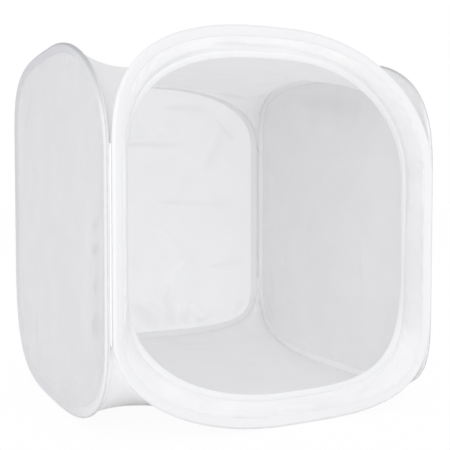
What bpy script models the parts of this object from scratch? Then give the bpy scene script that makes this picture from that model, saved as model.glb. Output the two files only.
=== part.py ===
"""Pop-up light tent cube: four flat spring hoops in fabric sleeves, hinged on sewn upright seams, with cloth walls,
a bordered front opening, and a cloth roof and floor that stretch between the rounded corners of the hoops."""

import math

import bpy
import numpy as np

# Overall sizes in metres. X is to the right, Y to the back and Z up, with the floor at zero.
tent_width = 0.565
tent_depth = 0.600
tent_height = 0.600
cloth_thick = 0.0006
tape_thick = 0.0006
fit_gap = 0.0003
sleeve_slack = 0.0009
leg_length = 0.008
panel_edge_gap = 0.001
border_fold_gap = 0.0015
wire_width = 0.003
wire_thick = 0.001
wire_end_gap = 0.001
ferrule_length = 0.040
ferrule_wall = 0.0004
hem_width = 0.009
hem_thick = 0.0005
hem_cover = 0.001
strip_width = 0.0075
strip_thick = 0.0012
seam_overreach = 0.012
floor_load = 0.0005

# How each upright seam ends: the share of the hoop height that its top and bottom corners take.
seam_rise_shares = {
    "front_left": {"top": 0.315, "bottom": 0.26},
    "front_right": {"top": 0.36, "bottom": 0.31},
    "back_right": {"top": 0.25, "bottom": 0.27},
    "back_left": {"top": 0.26, "bottom": 0.41},
}
# How square each hoop corner is: 2 is a plain ellipse, and more is squarer.
corner_power_shares = {
    "front": {"low_top": 2.9, "high_top": 2.0, "low_bottom": 2.1, "high_bottom": 3.5},
    "left": {"low_top": 2.0, "high_top": 3.8, "low_bottom": 2.7, "high_bottom": 3.4},
    "right": {"low_top": 2.8, "high_top": 4.6, "low_bottom": 4.6, "high_bottom": 3.2},
    "back": {"low_top": 2.8, "high_top": 2.6, "low_bottom": 2.9, "high_bottom": 4.2},
}
# How far the lower run of each hoop stands off the ground, as a share of the hoop height.
foot_lift_shares = {"front": 0, "left": 0, "right": 0, "back": 0.05}
# The front opening as shares of its hoop, and how far its edge is drawn back, as shares of the tent's depth.
opening_shares = {"half_width": 0.917, "bottom": 0.075, "top": 0.931}
opening_rise_shares = {"low_top": 0.315, "high_top": 0.31, "low_bottom": 0.28, "high_bottom": 0.355}
opening_power_shares = {"low_top": 3.0, "high_top": 2.0, "low_bottom": 2.2, "high_bottom": 3.8}
draw_back_shares = {"middle": 0.013, "low_side": 0.012, "high_side": 0.061}

# How finely things are divided.
corner_steps = 10
border_steps = 16
sleeve_outer_sides = 8
sleeve_inner_sides = 6
seam_sides = 12
curve_samples = 400
turn_share = 0.6
relax_rounds = 900

# Sizes that follow from the ones above. A pair holds the value along X and the value along Y.
crimp_across = wire_thick + 2 * fit_gap
crimp_over = wire_width + 2 * fit_gap
ferrule_across = crimp_across + 2 * ferrule_wall
ferrule_over = crimp_over + 2 * ferrule_wall
sleeve_bore = math.hypot(ferrule_across, ferrule_over) / 2 + sleeve_slack
sleeve_radius = sleeve_bore + tape_thick
binding_depth = sleeve_radius + leg_length
panel_inset = sleeve_radius + panel_edge_gap
border_flat_depth = binding_depth + border_fold_gap
seam_offset = sleeve_radius + fit_gap
half_sizes = (tent_width / 2, tent_depth / 2)
hinge_reach = tuple(half - seam_offset for half in half_sizes)
hoop_halves = tuple(half - 2 * seam_offset for half in half_sizes)
hoop_low = sleeve_radius
hoop_high = tent_height - sleeve_radius
hoop_height = hoop_high - hoop_low
leg_inner = cloth_thick / 2 + fit_gap
leg_outer = leg_inner + tape_thick
seam_radius = math.sqrt(2) * seam_offset - sleeve_radius - fit_gap
roof_inset = sleeve_radius + fit_gap + cloth_thick / 2
last_top = 2 * corner_steps

pivots = {
    "front_frame": (0, 0, 0),
    "left_wall": (-hinge_reach[0], -hinge_reach[1], 0),
    "right_wall": (hinge_reach[0], -hinge_reach[1], 0),
    "back_wall": (-hinge_reach[0], hinge_reach[1], 0),
}
body_parents = {"left_wall": "front_frame", "right_wall": "front_frame", "back_wall": "left_wall"}

# Each hoop: its body, the seams at its low and high ends, and the plane that it stands in.
hoop_table = {
    "front": {"body": "front_frame", "low": "front_left", "high": "front_right", "along": 0, "side": -1},
    "left": {"body": "left_wall", "low": "front_left", "high": "back_left", "along": 1, "side": -1},
    "right": {"body": "right_wall", "low": "front_right", "high": "back_right", "along": 1, "side": 1},
    "back": {"body": "back_wall", "low": "back_left", "high": "back_right", "along": 0, "side": 1},
}


def clear_scene():
    for obj in list(bpy.data.objects):
        bpy.data.objects.remove(obj, do_unlink=True)


def make_material(name, colour, roughness, metallic):
    material = bpy.data.materials.new(name)
    material.use_nodes = True
    shader = material.node_tree.nodes["Principled BSDF"]
    shader.inputs["Base Color"].default_value = (*colour, 1.0)
    shader.inputs["Roughness"].default_value = roughness
    shader.inputs["Metallic"].default_value = metallic
    material.diffuse_color = (*colour, 1.0)
    return material


def quadrant(half, rise, power, steps):
    """Points and outward normals of a superellipse corner, from its upright end to its level end."""
    turn = np.linspace(0, math.pi / 2, curve_samples)
    across = np.cos(turn).clip(0, 1) ** (2 / power)
    up = np.sin(turn).clip(0, 1) ** (2 / power)
    across[-1] = 0
    up[0] = 0
    points = np.stack([half * across, rise * up], axis=1)
    normals = np.stack([across ** (power - 1) / half, up ** (power - 1) / rise], axis=1)
    normals /= np.linalg.norm(normals, axis=1, keepdims=True)
    step = np.linalg.norm(np.diff(points, axis=0), axis=1)
    bend = np.arccos((normals[1:] * normals[:-1]).sum(axis=1).clip(-1, 1))
    measure = (1 - turn_share) * step / step.sum() + turn_share * bend / bend.sum()
    along = np.concatenate([[0], np.cumsum(measure)])
    wanted = np.linspace(0, along[-1], steps + 1)
    points = np.stack([np.interp(wanted, along, points[:, k]) for k in range(2)], axis=1)
    normals = np.stack([np.interp(wanted, along, normals[:, k]) for k in range(2)], axis=1)
    return points, normals / np.linalg.norm(normals, axis=1, keepdims=True)


def outline(half, low, high, rises, powers, steps):
    """A closed outline with four corners, from the top of its high upright side round over the top."""
    points, normals = [], []
    for end, level in (("high", "top"), ("low", "top"), ("low", "bottom"), ("high", "bottom")):
        corner = f"{end}_{level}"
        place, normal = quadrant(half, rises[corner], powers[corner], steps)
        across = 1 if end == "high" else -1
        up = 1 if level == "top" else -1
        base = high - rises[corner] if level == "top" else low + rises[corner]
        place = place * (across, up) + (0, base)
        normal = normal * (across, up)
        if across * up < 0:
            place, normal = place[::-1], normal[::-1]
            place, normal = place[1:], normal[1:]
        points.append(place)
        normals.append(normal)
    return np.concatenate(points), np.concatenate(normals)


def in_space(flat, hoop, depth):
    """Outline points (across, up) placed in a hoop's plane, moved inwards from it by depth."""
    spot = np.zeros((len(flat), 3))
    spot[:, hoop["along"]] = flat[:, 0]
    plane = 1 - hoop["along"]
    spot[:, plane] = hoop["side"] * (half_sizes[plane] - depth)
    spot[:, 2] = flat[:, 1]
    return spot


def directions(flat, hoop):
    """Outline directions turned into space, and the hoop's own inward direction."""
    spot = np.zeros((len(flat), 3))
    spot[:, hoop["along"]] = flat[:, 0]
    spot[:, 2] = flat[:, 1]
    inward = np.zeros(3)
    inward[1 - hoop["along"]] = -hoop["side"]
    return spot, np.tile(inward, (len(flat), 1))


def signed_volume(points, faces):
    total = 0.0
    for face in faces:
        for k in range(1, len(face) - 1):
            a, b, c = points[face[0]], points[face[k]], points[face[k + 1]]
            total += float(np.dot(a, np.cross(b, c)))
    return total


def add_piece(name, points, faces, material, body, sharp_angle=math.radians(40)):
    """One closed body, with its origin on the pivot of the body that it moves with."""
    points = np.asarray(points, float)
    middle = points.mean(axis=0)
    if signed_volume(points - middle, faces) < 0:
        faces = [tuple(reversed(face)) for face in faces]
    mesh = bpy.data.meshes.new(name)
    mesh.from_pydata([tuple(p) for p in points - np.array(pivots[body])], [], faces)
    mesh.materials.append(material)
    mesh.shade_smooth()
    mesh.set_sharp_from_angle(angle=sharp_angle)
    obj = bpy.data.objects.new(name, mesh)
    bpy.context.scene.collection.objects.link(obj)
    obj.parent = body_empties[body]
    return obj


def sweep(places, outs, sides, section, closed):
    """Points and faces of a section (out, side) carried along a path. All its sides are split along the same way."""
    count, sections = len(section), len(places)
    points = []
    for place, out, side in zip(places, outs, sides):
        for across, over in section:
            points.append(place + across * out + over * side)
    faces = []
    for i in range(sections if closed else sections - 1):
        here, there = i * count, (i + 1) % sections * count
        for k in range(count):
            after = (k + 1) % count
            if section[after][0] > section[k][0]:
                faces += [(here + k, here + after, there + after), (here + k, there + after, there + k)]
            else:
                faces += [(here + k, here + after, there + k), (here + after, there + after, there + k)]
    if not closed:
        faces.append(tuple(reversed(range(count))))
        faces.append(tuple(range((sections - 1) * count, sections * count)))
    return points, faces


def layered(front, back, faces, rims):
    """Two copies of a sheet's points joined at its rims into one closed skin."""
    count = len(front)
    points = list(front) + list(back)
    skin = [tuple(face) for face in faces]
    skin += [tuple(k + count for k in reversed(face)) for face in faces]
    for rim in rims:
        for here, there in rim:
            skin.append((there, here, here + count, there + count))
    return points, skin


def around(count, start=0):
    return [(start + k, start + (k + 1) % count) for k in range(count)]


def circle_part(radius, half_gap, sides):
    """Points of a circle from one side of a slit facing inwards round to the other side."""
    open_angle = math.asin(half_gap / radius)
    spread = np.linspace(-(math.pi - open_angle), math.pi - open_angle, 2 * (sides // 2) + 1)
    return [(radius * math.cos(a), radius * math.sin(a)) for a in spread]


def binding_section():
    """A folded tape: a loop round the hoop and two legs that hold the cloth between them."""
    outer = circle_part(sleeve_radius, leg_outer, sleeve_outer_sides)
    inner = circle_part(sleeve_bore, leg_inner, sleeve_inner_sides)
    outer_ends = [(-binding_depth, leg_outer), (-binding_depth, leg_inner)]
    inner_ends = [(-binding_depth, -leg_inner), (-binding_depth, -leg_outer)]
    return outer + outer_ends + inner[::-1] + inner_ends


def rectangle(across, over):
    return [(across / 2, over / 2), (-across / 2, over / 2), (-across / 2, -over / 2), (across / 2, -over / 2)]


def hoop_outline(name, steps):
    hoop = hoop_table[name]
    lift = foot_lift_shares[name] * hoop_height
    rises = {}
    for end in ("low", "high"):
        rises[f"{end}_top"] = seam_rise_shares[hoop[end]]["top"] * hoop_height
        rises[f"{end}_bottom"] = seam_rise_shares[hoop[end]]["bottom"] * hoop_height - lift
    half = hoop_halves[hoop["along"]]
    return outline(half, hoop_low + lift, hoop_high, rises, corner_power_shares[name], steps)


def add_hoop(name):
    """A spring hoop cut and crimped half way up its high side, and the tape folded round it."""
    hoop = hoop_table[name]
    flat, normal = outlines[name]
    places = in_space(flat, hoop, 0)
    outs, sides = directions(normal, hoop)
    points, faces = sweep(places, outs, sides, binding_section(), True)
    add_piece(f"{name}_binding", points, faces, binding_cloth, hoop["body"])
    joint_up = (flat[0, 1] + flat[-1, 1]) / 2
    half = hoop_halves[hoop["along"]]
    ends = in_space(np.array([(half, joint_up + up * wire_end_gap / 2) for up in (1, -1)]), hoop, 0)
    path = np.concatenate([ends[:1], places, ends[1:]])
    path_outs = np.concatenate([outs[:1], outs, outs[-1:]])
    path_sides = np.concatenate([sides[:1], sides, sides[-1:]])
    points, faces = sweep(path, path_outs, path_sides, rectangle(wire_thick, wire_width), False)
    add_piece(f"{name}_wire", points, faces, spring_steel, hoop["body"])
    add_ferrule(name, half, joint_up)


def add_ferrule(name, half, joint_up):
    """A short flattened tube round the two ends of the hoop."""
    hoop = hoop_table[name]
    inner = rectangle(crimp_across, crimp_over)
    outer = rectangle(ferrule_across, ferrule_over)
    points = []
    for up in (joint_up - ferrule_length / 2, joint_up + ferrule_length / 2):
        for ring in (outer, inner):
            flat = np.array([(half + across, up) for across, over in ring])
            spots = in_space(flat, hoop, 0)
            spots[:, 1 - hoop["along"]] += [over for across, over in ring]
            points += list(spots)
    faces = []
    for k in range(4):
        after = (k + 1) % 4
        faces.append((k, after, 8 + after, 8 + k))
        faces.append((4 + after, 4 + k, 12 + k, 12 + after))
        faces.append((after, k, 4 + k, 4 + after))
        faces.append((8 + k, 8 + after, 12 + after, 12 + k))
    add_piece(f"{name}_ferrule", points, faces, crimp_metal, hoop["body"])


def add_flat_panel(name):
    """The cloth of a wall, held all round between the legs of its binding."""
    hoop = hoop_table[name]
    flat, normal = outlines[name]
    edge = flat - panel_inset * normal
    middle = np.array([[0, tent_height / 2]])
    layers = []
    for depth in (-cloth_thick / 2, cloth_thick / 2):
        layers.append(in_space(np.concatenate([edge, middle]), hoop, depth))
    faces = [(here, there, len(edge)) for here, there in around(len(edge))]
    points, skin = layered(layers[0], layers[1], faces, [around(len(edge))])
    add_piece(f"{name}_panel", points, skin, tent_cloth, hoop["body"])


def opening_path():
    """The edge of the front opening, drawn back into the tent more towards its sides."""
    rises = {corner: share * hoop_height for corner, share in opening_rise_shares.items()}
    half = opening_shares["half_width"] * hoop_halves[0]
    low = hoop_low + opening_shares["bottom"] * hoop_height
    high = hoop_low + opening_shares["top"] * hoop_height
    flat, _ = outline(half, low, high, rises, opening_power_shares, border_steps)
    side = np.where(flat[:, 0] < 0, draw_back_shares["low_side"], draw_back_shares["high_side"])
    back = (draw_back_shares["middle"] + side * (flat[:, 0] / half) ** 2) * tent_depth
    edge = in_space(flat, hoop_table["front"], 0)
    edge[:, 1] += back
    return edge


def border_frame(edge, held):
    """At each point of the opening: the way out over the border and the way to its inner face."""
    ahead = np.roll(edge, -1, axis=0) - np.roll(edge, 1, axis=0)
    ahead /= np.linalg.norm(ahead, axis=1, keepdims=True)
    out = held - edge
    out -= (out * ahead).sum(axis=1, keepdims=True) * ahead
    out /= np.linalg.norm(out, axis=1, keepdims=True)
    inner = np.cross(ahead, out)
    inner *= np.sign(inner[:, 1:2])
    return out, inner


def add_border():
    """The cloth frame of the front: flat in its binding, then drawn back to the hemmed edge of the opening."""
    front = hoop_table["front"]
    flat, normal = hoop_outline("front", border_steps)
    outer = in_space(flat - panel_inset * normal, front, 0)
    held = in_space(flat - border_flat_depth * normal, front, 0)
    edge = opening_path()
    out, inner = border_frame(edge, held)
    level = np.tile((0, 1, 0), (len(edge), 1))
    bend = inner + level
    bend /= np.linalg.norm(bend, axis=1, keepdims=True)
    under_hem = edge + (hem_width + hem_cover) * out
    rings = ((outer, level), (held, bend), (under_hem, inner), (edge, inner))
    count = len(edge)
    front_side, back_side = [], []
    for ring, way in rings:
        front_side += list(ring - way * cloth_thick / 2)
        back_side += list(ring + way * cloth_thick / 2)
    faces = []
    for ring in range(len(rings) - 1):
        for here, there in around(count, ring * count):
            faces += [(here, there, here + count), (there, there + count, here + count)]
    inner_rim = [(there, here) for here, there in around(count, (len(rings) - 1) * count)]
    points, skin = layered(front_side, back_side, faces, [around(count), inner_rim])
    add_piece("front_border", points, skin, border_cloth, "front_frame")
    add_hem(edge, out, inner)
    add_cover_strips(edge, out, inner)


def add_hem(edge, out, inner):
    """A tape folded over the edge of the opening."""
    near = cloth_thick / 2 + fit_gap
    far = near + hem_thick
    fold = fit_gap + hem_thick
    section = [(hem_width, far), (-fold, far), (-fold, -far), (hem_width, -far),
               (hem_width, -near), (-fit_gap, -near), (-fit_gap, near), (hem_width, near)]
    points, faces = sweep(edge, out, inner, section, True)
    add_piece("opening_hem", points, faces, binding_cloth, "front_frame")


def add_cover_strips(edge, out, inner):
    """Four lengths of touch fastener behind the hem, each along one side of the opening."""
    low = cloth_thick / 2 + hem_thick + 3 * fit_gap
    high = low + strip_thick
    section = [(strip_width, low), (0, low), (0, high), (strip_width, high)]
    count = len(edge)
    quarter = border_steps // 2
    across_top = 2 * border_steps
    spans = {
        "top": range(quarter, across_top - quarter + 1),
        "left": range(across_top - quarter + 1, across_top + quarter + 1),
        "bottom": range(across_top + quarter + 1, count - quarter),
        "right": range(count - quarter, count + quarter),
    }
    for name, span in spans.items():
        picked = [k % count for k in span]
        points, faces = sweep(edge[picked], out[picked], inner[picked], section, False)
        add_piece(f"cover_strip_{name}", points, faces, strip_pile, "front_frame")


def seam_corner(name, level):
    """Where the cloth of the roof or floor runs down to the end of an upright seam."""
    across = -1 if name.endswith("left") else 1
    deep = -1 if name.startswith("front") else 1
    tuck = (seam_offset + cloth_thick / 2) / 2
    rise = seam_rise_shares[name][level] * hoop_height
    up = hoop_high - rise if level == "top" else hoop_low + rise
    return np.array((across * (hinge_reach[0] - tuck), deep * (hinge_reach[1] - tuck), up))


def roof_sides(level):
    """The four edges of the roof or floor cloth, each from its low end to its high end."""
    sides = {}
    for name, hoop in hoop_table.items():
        flat, _ = outlines[name]
        chain = flat[: last_top + 1][::-1] if level == "top" else flat[last_top + 1 :]
        spots = in_space(chain, hoop, roof_inset)
        spots[0] = seam_corner(hoop["low"], level)
        spots[-1] = seam_corner(hoop["high"], level)
        sides[name] = spots
    return sides


def stretched_grid(level):
    """A cloth held at its four edges, pulled taut, and for the floor also lying on the ground."""
    sides = roof_sides(level)
    size = last_top + 1
    grid = np.zeros((size, size, 3))
    share = np.linspace(0, 1, size)[:, None]
    for i in range(size):
        across = i / (size - 1)
        lengthwise = (1 - across) * sides["left"] + across * sides["right"]
        ends = (1 - share) * lengthwise[0] + share * lengthwise[-1]
        grid[i] = lengthwise - ends + (1 - share) * sides["front"][i] + share * sides["back"][i]
    load = floor_load if level == "bottom" else 0
    lowest = cloth_thick / 2
    for _ in range(relax_rounds):
        mean = (grid[:-2, 1:-1] + grid[2:, 1:-1] + grid[1:-1, :-2] + grid[1:-1, 2:]) / 4
        mean[:, :, 2] = np.maximum(mean[:, :, 2] - load, lowest)
        grid[1:-1, 1:-1] = mean
    grid[0, :], grid[-1, :] = sides["left"], sides["right"]
    grid[:, 0], grid[:, -1] = sides["front"], sides["back"]
    return grid


def grid_normals(grid):
    along = np.gradient(grid, axis=0)
    over = np.gradient(grid, axis=1)
    normal = np.cross(along, over)
    normal /= np.linalg.norm(normal, axis=2, keepdims=True)
    return normal


def add_cloth_cap(name, level):
    grid = stretched_grid(level)
    normal = grid_normals(grid)
    size = len(grid)
    upper = (grid + normal * cloth_thick / 2).reshape(-1, 3)
    lower = (grid - normal * cloth_thick / 2).reshape(-1, 3)
    faces, rim = [], []
    for i in range(size - 1):
        for j in range(size - 1):
            corner = i * size + j
            a, b, c, d = corner, corner + size, corner + size + 1, corner + 1
            if (i < size // 2) == (j < size // 2):
                faces += [(a, b, c), (a, c, d)]
            else:
                faces += [(a, b, d), (b, c, d)]
        rim.append((i * size, (i + 1) * size))
        rim.append(((size - 1) * size + i, (size - 1) * size + i + 1))
        rim.append(((i + 1) * size + size - 1, i * size + size - 1))
        rim.append((i + 1, i))
    points, skin = layered(list(upper), list(lower), faces, [rim])
    add_piece(name, points, skin, tent_cloth, "front_frame")


def add_seam(name, body):
    """The sewn cord of an upright seam, which is the hinge between two hoops."""
    across = -1 if name.endswith("left") else 1
    deep = -1 if name.startswith("front") else 1
    low = hoop_low + seam_rise_shares[name]["bottom"] * hoop_height - seam_overreach
    high = hoop_high - seam_rise_shares[name]["top"] * hoop_height + seam_overreach
    places = np.array([(across * hinge_reach[0], deep * hinge_reach[1], up) for up in (low, high)])
    angles = [2 * math.pi * k / seam_sides for k in range(seam_sides)]
    section = [(seam_radius * math.cos(a), seam_radius * math.sin(a)) for a in angles]
    outs = np.tile((1, 0, 0), (2, 1))
    sides = np.tile((0, 1, 0), (2, 1))
    points, faces = sweep(places, outs, sides, section, False)
    add_piece(f"seam_{name}", points, faces, seam_thread, body)


clear_scene()
tent_cloth = make_material("tent_cloth", (0.86, 0.86, 0.88), 0.85, 0.0)
border_cloth = make_material("border_cloth", (0.90, 0.90, 0.91), 0.85, 0.0)
binding_cloth = make_material("binding_tape", (0.93, 0.93, 0.94), 0.80, 0.0)
seam_thread = make_material("seam_cord", (0.80, 0.80, 0.82), 0.80, 0.0)
strip_pile = make_material("touch_fastener", (0.92, 0.92, 0.92), 0.95, 0.0)
spring_steel = make_material("spring_steel", (0.55, 0.56, 0.58), 0.35, 1.0)
crimp_metal = make_material("crimp_metal", (0.66, 0.67, 0.68), 0.40, 1.0)

body_empties = {"front_frame": None}
for body_name, parent_name in body_parents.items():
    empty = bpy.data.objects.new(f"{body_name}_pivot", None)
    bpy.context.scene.collection.objects.link(empty)
    empty.parent = body_empties[parent_name]
    empty.location = [a - b for a, b in zip(pivots[body_name], pivots[parent_name])]
    body_empties[body_name] = empty

outlines = {hoop_name: hoop_outline(hoop_name, corner_steps) for hoop_name in hoop_table}
for hoop_name in hoop_table:
    add_hoop(hoop_name)
for panel_name in ("left", "right", "back"):
    add_flat_panel(panel_name)
add_border()
add_cloth_cap("roof_panel", "top")
add_cloth_cap("floor_panel", "bottom")
add_seam("front_left", "front_frame")
add_seam("front_right", "front_frame")
add_seam("back_left", "left_wall")
add_seam("back_right", "back_wall")
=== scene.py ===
# Pop-up light tent cube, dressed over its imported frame: nylon cloth, tape sleeves, sewing thread, spring steel.
import math
import bpy
import numpy as np
from mathutils import Matrix, Vector


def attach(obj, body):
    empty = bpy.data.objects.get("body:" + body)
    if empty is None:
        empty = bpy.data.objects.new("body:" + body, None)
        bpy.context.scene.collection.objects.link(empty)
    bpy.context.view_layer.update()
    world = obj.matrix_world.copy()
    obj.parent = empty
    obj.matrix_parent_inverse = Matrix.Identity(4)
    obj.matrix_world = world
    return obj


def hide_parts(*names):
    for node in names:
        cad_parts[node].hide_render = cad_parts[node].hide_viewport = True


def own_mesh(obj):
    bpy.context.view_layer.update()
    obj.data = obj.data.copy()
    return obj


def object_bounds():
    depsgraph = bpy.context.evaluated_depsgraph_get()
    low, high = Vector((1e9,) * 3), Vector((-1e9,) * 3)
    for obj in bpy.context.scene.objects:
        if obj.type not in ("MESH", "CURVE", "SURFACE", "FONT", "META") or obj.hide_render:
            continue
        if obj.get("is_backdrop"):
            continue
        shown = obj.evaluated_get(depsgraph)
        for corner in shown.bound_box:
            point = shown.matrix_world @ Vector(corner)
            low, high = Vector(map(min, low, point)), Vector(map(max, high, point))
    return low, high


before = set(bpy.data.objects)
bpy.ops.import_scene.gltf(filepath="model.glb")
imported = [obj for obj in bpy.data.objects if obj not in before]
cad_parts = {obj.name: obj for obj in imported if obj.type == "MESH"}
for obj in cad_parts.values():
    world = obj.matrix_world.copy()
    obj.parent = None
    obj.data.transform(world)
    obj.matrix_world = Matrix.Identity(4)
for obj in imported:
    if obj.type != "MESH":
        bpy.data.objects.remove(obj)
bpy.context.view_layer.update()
print("light tent: frame loaded")

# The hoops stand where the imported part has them, in metres.
tent = {
    "half": (0.2825, 0.3),             # from the middle to the planes of the hoops, along X and along Y
    "height": 0.6,
    "hoopHalf": (0.273888, 0.291388),  # centre line of a hoop that runs along X, and of one along Y
    "hoopLow": 0.004006, "hoopHigh": 0.595994,
    "hinge": (0.278194, 0.295694),     # the upright seams, from the middle
    "sleeve": 0.004006,                # radius of the sleeve round a hoop
    "sleeveDepth": 0.012006,           # from the hoop to the free edge of the sleeve's legs
    "clothEdge": 0.005006,             # where a wall cloth ends inside its sleeve
}
hoopRise = tent["hoopHigh"] - tent["hoopLow"]
# each hoop: its body, the seams at its two ends, the axis that it runs along (0 is X), and the side it stands on
hoops = {
    "front": {"body": "front_frame", "low": "frontLeft", "high": "frontRight", "along": 0, "side": -1},
    "left": {"body": "left_wall", "low": "frontLeft", "high": "backLeft", "along": 1, "side": -1},
    "right": {"body": "right_wall", "low": "frontRight", "high": "backRight", "along": 1, "side": 1},
    "back": {"body": "back_wall", "low": "backLeft", "high": "backRight", "along": 0, "side": 1},
}
# share of a hoop's height that its corner takes at each seam, at the top and at the bottom
seamCorner = {
    "frontLeft": (0.315, 0.26), "frontRight": (0.36, 0.31), "backRight": (0.25, 0.27), "backLeft": (0.26, 0.41),
}
# how square each corner is: low top, high top, low bottom, high bottom
squareness = {
    "front": (2.9, 2.0, 2.1, 3.5), "left": (2.0, 3.8, 2.7, 3.4),
    "right": (2.8, 4.6, 4.6, 3.2), "back": (2.8, 2.6, 2.9, 4.2),
}
# how far the lower run of each hoop stands off the ground, as a share of a hoop's height
footLift = {"front": 0, "left": 0, "right": 0, "back": 0.05}
# the opening as shares of the front hoop, its corners, and how far back its edge stands, more at the sides
opening = {
    "halfShare": 0.917, "bottomShare": 0.075, "topShare": 0.931,
    "rises": (0.315, 0.31, 0.28, 0.355), "powers": (3.0, 2.0, 2.2, 3.8),
    "setBack": 0.0078, "setBackLeft": 0.0072, "setBackRight": 0.0366,
}
# how an outline is drawn: samples of a corner, points per corner, and how much they crowd where it bends
drawing = {"samples": 900, "hoopSteps": 120, "borderSteps": 100, "crowding": 0.6}


def unit(vectors):
    return vectors / np.linalg.norm(vectors, axis=-1, keepdims=True)


def resample(rows, along, wanted):
    return np.stack([np.interp(wanted, along, rows[:, k]) for k in (0, 1)], axis=1)


def distances(points):
    # how far along a line each of its points lies
    return np.concatenate([[0], np.cumsum(np.linalg.norm(np.diff(points, axis=0), axis=1))])


def eased(share):
    # from 0 to 1 with soft ends
    share = share.clip(0, 1)
    return share * share * (3 - 2 * share)


def cornerArc(half, rise, power, steps):
    # a rounded corner from its upright end to its level end, closer spaced where it bends
    turn = np.linspace(0, math.pi / 2, drawing["samples"])
    across, up = np.cos(turn).clip(0, 1) ** (2 / power), np.sin(turn).clip(0, 1) ** (2 / power)
    across[-1], up[0] = 0, 0
    places = np.stack([half * across, rise * up], axis=1)
    outs = unit(np.stack([across ** (power - 1) / half, up ** (power - 1) / rise], axis=1))
    step = np.linalg.norm(np.diff(places, axis=0), axis=1)
    bend = np.arccos((outs[1:] * outs[:-1]).sum(axis=1).clip(-1, 1))
    crowding = drawing["crowding"]
    spent = (1 - crowding) * step / step.sum() + crowding * bend / bend.sum()
    along = np.concatenate([[0], np.cumsum(spent)])
    wanted = np.linspace(0, along[-1], steps + 1)
    return resample(places, along, wanted), unit(resample(outs, along, wanted))


def roundedFrame(half, low, high, rises, powers, steps):
    # closed outline: up the high side, over the top, down the low side and along the bottom
    places, outs = [], []
    for across, up, k in ((1, 1, 1), (-1, 1, 0), (-1, -1, 2), (1, -1, 3)):
        place, out = cornerArc(half, rises[k], powers[k], steps)
        base = high - rises[k] if up > 0 else low + rises[k]
        place, out = place * (across, up) + (0, base), out * (across, up)
        if across * up < 0:
            place, out = place[::-1][1:], out[::-1][1:]
        places.append(place)
        outs.append(out)
    return np.concatenate(places), np.concatenate(outs)


def hoopOutline(name, steps):
    low, high = seamCorner[hoops[name]["low"]], seamCorner[hoops[name]["high"]]
    lift = footLift[name] * hoopRise
    rises = [hoopRise * low[0], hoopRise * high[0], hoopRise * low[1] - lift, hoopRise * high[1] - lift]
    half = tent["hoopHalf"][hoops[name]["along"]]
    return roundedFrame(half, tent["hoopLow"] + lift, tent["hoopHigh"], rises, squareness[name], steps)


def fillLoops(loops, spacing):
    # puts extra points into the long straight runs, at the same places in each of the loops
    parts = [[] for _ in loops]
    count = len(loops[0])
    for k in range(count):
        after = (k + 1) % count
        pieces = max(1, math.ceil(np.linalg.norm(loops[0][after] - loops[0][k]) / spacing))
        share = (np.arange(pieces) / pieces)[:, None]
        for part, loop in zip(parts, loops):
            part.append(loop[k] * (1 - share) + loop[after] * share)
    return [np.concatenate(part) for part in parts]


def evenLoop(places, outs, count):
    # the same outline with its points at equal distances
    ring, turned = np.concatenate([places, places[:1]]), np.concatenate([outs, outs[:1]])
    along = distances(ring)
    wanted = np.linspace(0, along[-1], count, endpoint=False)
    return resample(ring, along, wanted), unit(resample(turned, along, wanted))


def stand(name, flat, inward):
    # points of a hoop's plane put into the tent, moved inwards from that plane
    hoop = hoops[name]
    spots = np.zeros((len(flat), 3))
    spots[:, hoop["along"]] = flat[:, 0]
    spots[:, 1 - hoop["along"]] = hoop["side"] * (tent["half"][1 - hoop["along"]] - inward)
    spots[:, 2] = flat[:, 1]
    return spots


def creaseField(flat, creases):
    # height of a cloth over its flat form; a crease is both its ends, its width and its height, in millimetres
    total = np.zeros(len(flat))
    for crease in creases:
        x0, y0, x1, y1, width, height = (value / 1000 for value in crease)
        run = np.array((x1 - x0, y1 - y0))
        share = ((flat - (x0, y0)) @ run) / (run @ run)
        inside = share.clip(0, 1)
        away = np.linalg.norm(flat - (x0, y0) - inside[:, None] * run, axis=1)
        wide = width * (0.6 + 0.8 * inside)   # narrow where it starts, and lower at both ends
        total += height * np.exp(-(away / wide) ** 2) * (0.2 + 0.8 * np.sqrt(4 * inside * (1 - inside)))
    return total


def paintedCreaseShade(flat, creases):
    # how much painted shade each point takes, from 0 to 1: the grooves of the creases, as a share of a full fold
    widened, fullFold = 1.25, 0.016
    grooves = [(*crease[:4], widened * crease[4], crease[5]) for crease in creases if crease[5] < 0]
    return (-creaseField(flat, grooves) / fullFold).clip(0, 1)


def gentleWaves(flat, size, seed):
    # slow waves of about height one that never repeat over the cloth
    picker = np.random.default_rng(seed)
    total, count = np.zeros(len(flat)), 7
    for _ in range(count):
        angle, phase = picker.uniform(0, 2 * math.pi, 2)
        length = size * picker.uniform(0.7, 1.6)
        total += np.sin((flat @ (math.cos(angle), math.sin(angle))) * 2 * math.pi / length + phase)
    return total / 4


def newObject(name, data):
    made = bpy.data.objects.new(name, data)
    bpy.context.scene.collection.objects.link(made)
    return made


def unevenRipple(along, rate, wobble, wobbleRate, swell, swellRate, phase=0.0):
    # puckers whose spacing wobbles and whose height swells and fades
    wave = np.sin(along * rate + wobble * np.sin(along * wobbleRate))
    return wave * (1 - swell + swell * np.sin(along * swellRate + phase))


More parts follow.
